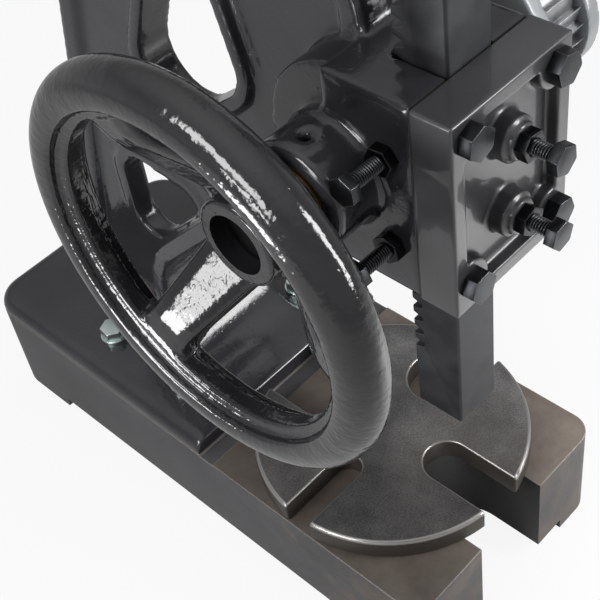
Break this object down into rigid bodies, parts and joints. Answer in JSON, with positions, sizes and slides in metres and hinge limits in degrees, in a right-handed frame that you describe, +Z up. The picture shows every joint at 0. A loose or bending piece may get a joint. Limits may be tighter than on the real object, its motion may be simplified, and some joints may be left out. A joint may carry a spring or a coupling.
{
  "type": "manual ratchet press",
  "caption": "bench arbor press with a cast C-frame, a rack ram driven by handwheel and ratchet lever, and a slotted turning anvil disc",
  "frame": {"origin": "centre of the anvil disc's working face, on the disc's turning axis", "axes": "+X to the operator's right along the pinion shaft, +Y away from the operator, +Z up"},
  "size_m": [0.3473, 0.5517, 1.0256],
  "materials": {
    "enamel": "dark grey gloss enamel on cast iron",
    "wheel_enamel": "black gloss enamel on cast iron",
    "cover_iron": "dark grey enamel, half gloss",
    "lever_iron": "light grey painted casting",
    "bare_iron": "turned, oiled and darkened",
    "dark_steel": "dark satin steel",
    "bright_steel": "turned steel",
    "black_oxide": "black oxide",
    "zinc": "zinc plated, pale",
    "bronze": "bearing bronze",
    "black_plastic": "black ball knob"
  },
  "bodies": {
    "frame": {"base": "enamel", "anvil_pin": "bright_steel", "column": "enamel", "foot_bolts": "zinc", "foot_washers": "zinc", "left_bush": "bronze", "right_bearing": "bronze", "cover_plate": "cover_iron", "cover_bolts": "black_oxide", "front_gib": "bronze", "front_gib_screws": "black_oxide", "front_jam_nuts": "black_oxide", "side_gib_pads": "bronze", "side_gib_screws": "black_oxide", "side_jam_nuts": "black_oxide"},
    "anvil": {"anvil_disc": "bare_iron"},
    "ram": {"ram": "dark_steel"},
    "pinion": {"pinion_shaft": "bright_steel", "handwheel": "wheel_enamel", "handwheel_grub_screw": "black_oxide", "thrust_collar": "bright_steel", "ratchet_wheel": "bright_steel", "end_washer": "bright_steel", "end_nut": "black_oxide"},
    "lever": {"lever_head": "lever_iron", "lever_bar": "bright_steel", "lever_knob": "black_plastic", "lever_clamp_screw": "black_oxide", "pawl_pin": "bright_steel"},
    "pawl": {"pawl": "dark_steel"}
  },
  "joints": [
    {"name": "anvil_turn", "type": "hinge", "parent": "frame", "child": "anvil", "pos_m": [0, 0, 0], "axis": [0, 0, 1], "continuous": true},
    {"name": "ram_slide", "type": "slide", "parent": "frame", "child": "ram", "axis": [0, 0, 1], "range_m": [-0.088, 0.1508]},
    {"name": "pinion_spin", "type": "hinge", "parent": "frame", "child": "pinion", "pos_m": [0, -0.0288, 0.314], "axis": [1, 0, 0], "range_deg": [-360, 210]},
    {"name": "lever_swing", "type": "hinge", "parent": "frame", "child": "lever", "pos_m": [0.12, -0.0288, 0.314], "axis": [1, 0, 0], "range_deg": [-15, 90]},
    {"name": "pawl_swing", "type": "hinge", "parent": "lever", "child": "pawl", "pos_m": [0.12, 0.02529, 0.29951], "axis": [1, 0, 0], "range_deg": [0, 16]}
  ],
  "couplings": [
    {"joint": "ram_slide", "follows": "pinion_spin", "m_per_rad": -0.024}
  ]
}
